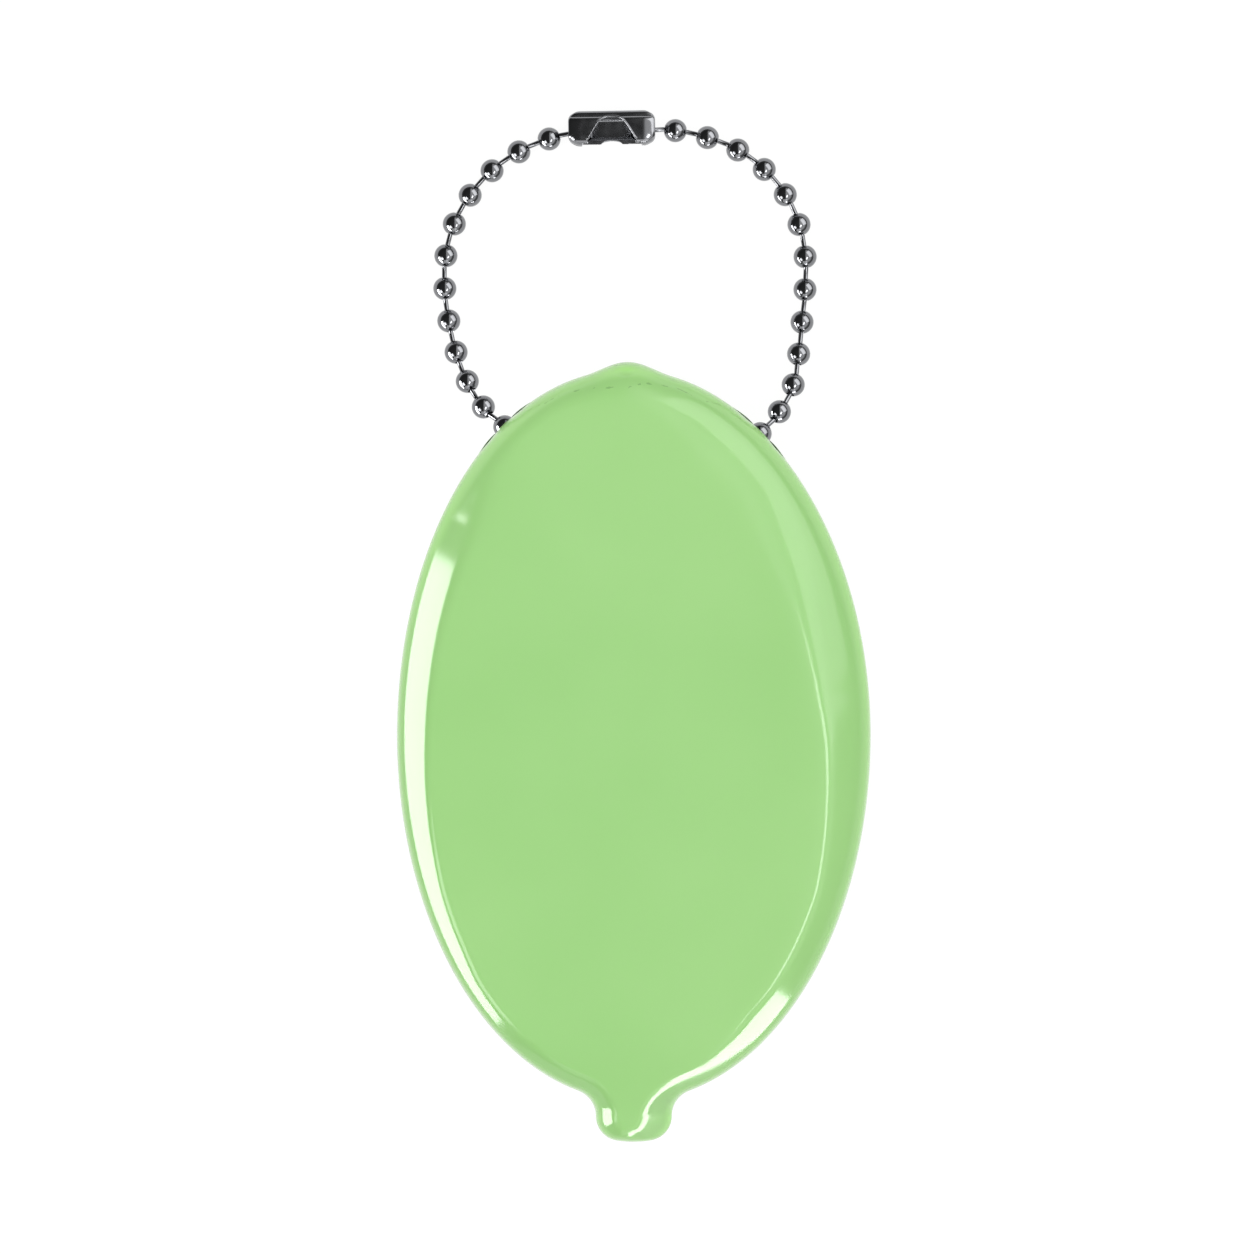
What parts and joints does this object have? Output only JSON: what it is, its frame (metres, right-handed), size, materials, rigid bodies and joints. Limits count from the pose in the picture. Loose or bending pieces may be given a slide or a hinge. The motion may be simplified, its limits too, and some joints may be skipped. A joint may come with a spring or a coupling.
{
  "type": "squeeze coin purse",
  "caption": "Oval dip-moulded vinyl squeeze purse with a slit back, and a looped ball chain with its sheet-metal connector.",
  "frame": {"origin": "middle of the slit back face, on the surface that the purse rests on", "axes": "+Z out of the plain front, +Y up the purse towards the chain, +X to the right seen from the front"},
  "size_m": [0.0486, 0.1061, 0.0115],
  "materials": {
    "vinyl": "glossy dip-moulded soft PVC, opaque light green",
    "chain_steel": "dark nickel-plated steel balls and pins",
    "connector_steel": "dark nickel-plated folded sheet steel"
  },
  "bodies": {
    "purse": {"purse_shell": "vinyl", "hidden_balls": "chain_steel", "hidden_pins": "chain_steel"},
    "left_lip": {"left_lip": "vinyl"},
    "right_lip": {"right_lip": "vinyl"},
    "left_00": {"left_ball_00": "chain_steel"},
    "left_01": {"left_ball_01": "chain_steel", "left_pin_01": "chain_steel", "left_ball_02": "chain_steel", "left_pin_02": "chain_steel", "left_ball_03": "chain_steel", "left_pin_03": "chain_steel", "left_ball_04": "chain_steel", "left_pin_04": "chain_steel"},
    "left_05": {"left_ball_05": "chain_steel", "left_pin_05": "chain_steel", "left_ball_06": "chain_steel", "left_pin_06": "chain_steel", "left_ball_07": "chain_steel", "left_pin_07": "chain_steel", "left_ball_08": "chain_steel", "left_pin_08": "chain_steel"},
    "left_09": {"left_ball_09": "chain_steel", "left_pin_09": "chain_steel", "left_ball_10": "chain_steel", "left_pin_10": "chain_steel", "left_ball_11": "chain_steel", "left_pin_11": "chain_steel", "left_ball_12": "chain_steel", "left_pin_12": "chain_steel"},
    "connector": {"connector": "connector_steel"},
    "right_00": {"right_ball_00": "chain_steel"},
    "right_01": {"right_ball_01": "chain_steel", "right_pin_01": "chain_steel", "right_ball_02": "chain_steel", "right_pin_02": "chain_steel", "right_ball_03": "chain_steel", "right_pin_03": "chain_steel", "right_ball_04": "chain_steel", "right_pin_04": "chain_steel"},
    "right_05": {"right_ball_05": "chain_steel", "right_pin_05": "chain_steel", "right_ball_06": "chain_steel", "right_pin_06": "chain_steel", "right_ball_07": "chain_steel", "right_pin_07": "chain_steel", "right_ball_08": "chain_steel", "right_pin_08": "chain_steel"},
    "right_09": {"right_ball_09": "chain_steel", "right_pin_09": "chain_steel", "right_ball_10": "chain_steel", "right_pin_10": "chain_steel", "right_ball_11": "chain_steel", "right_pin_11": "chain_steel"},
    "right_12": {"right_ball_12": "chain_steel", "right_pin_12": "chain_steel", "right_ball_13": "chain_steel", "right_pin_13": "chain_steel"}
  },
  "joints": [
    {"name": "left_lip_bend", "type": "hinge", "parent": "purse", "child": "left_lip", "pos_m": [-0.0156, 0, 0.00095], "axis": [0, 1, 0], "range_deg": [-15, 55], "stiffness_Nm_per_rad": 0.02},
    {"name": "right_lip_bend", "type": "hinge", "parent": "purse", "child": "right_lip", "pos_m": [0.0156, 0, 0.00095], "axis": [0, -1, 0], "range_deg": [-15, 55], "stiffness_Nm_per_rad": 0.02},
    {"name": "chain_swing", "type": "hinge", "parent": "purse", "child": "left_00", "pos_m": [-0.01324, 0.03166, 0.00575], "axis": [0.9996, -0.027, 0], "range_deg": [-60, 120]},
    {"name": "chain_swing_right", "type": "hinge", "parent": "purse", "child": "right_00", "pos_m": [0.01296, 0.03095, 0.00575], "axis": [0.9996, -0.027, 0], "range_deg": [-60, 120]},
    {"name": "chain_sway", "type": "hinge", "parent": "left_00", "child": "left_01", "pos_m": [-0.01395, 0.03231, 0.00527], "axis": [0, 0, 1], "range_deg": [-8, 8]},
    {"name": "left_link_05", "type": "hinge", "parent": "left_01", "child": "left_05", "pos_m": [-0.01926, 0.04372, 0.00131], "axis": [0, 0, 1], "range_deg": [-0.76, 0.76]},
    {"name": "left_link_09", "type": "hinge", "parent": "left_05", "child": "left_09", "pos_m": [-0.01626, 0.05652, 0.0012], "axis": [0, 0, 1], "range_deg": [-5.2, 5.2]},
    {"name": "connector_turn", "type": "hinge", "parent": "left_09", "child": "connector", "pos_m": [-0.00548, 0.06226, 0.0016], "axis": [0, 0, 1], "range_deg": [-6.68, 6.68]},
    {"name": "right_link_01", "type": "hinge", "parent": "right_00", "child": "right_01", "pos_m": [0.0136, 0.03167, 0.00527], "axis": [0, 0, 1], "range_deg": [-8.04, 8.04]},
    {"name": "right_link_05", "type": "hinge", "parent": "right_01", "child": "right_05", "pos_m": [0.01746, 0.04361, 0.00131], "axis": [0, 0, 1], "range_deg": [-0.99, 0.99]},
    {"name": "right_link_09", "type": "hinge", "parent": "right_05", "child": "right_09", "pos_m": [0.01505, 0.0566, 0.0012], "axis": [0, 0, 1], "range_deg": [-5.96, 5.96]},
    {"name": "right_link_12", "type": "hinge", "parent": "right_09", "child": "right_12", "pos_m": [0.00657, 0.0619, 0.0012], "axis": [0, 0, 1], "range_deg": [-4.04, 4.04]}
  ],
  "couplings": [
    {"joint": "right_lip_bend", "follows": "left_lip_bend", "ratio": 1},
    {"joint": "chain_swing_right", "follows": "chain_swing", "ratio": 1},
    {"joint": "left_link_05", "follows": "chain_sway", "ratio": -0.0325},
    {"joint": "left_link_09", "follows": "chain_sway", "ratio": -0.5877},
    {"joint": "connector_turn", "follows": "chain_sway", "ratio": -0.772},
    {"joint": "right_link_01", "follows": "chain_sway", "ratio": 0.942},
    {"joint": "right_link_05", "follows": "chain_sway", "ratio": 0.0615},
    {"joint": "right_link_09", "follows": "chain_sway", "ratio": -0.6826},
    {"joint": "right_link_12", "follows": "chain_sway", "ratio": -0.4429}
  ]
}
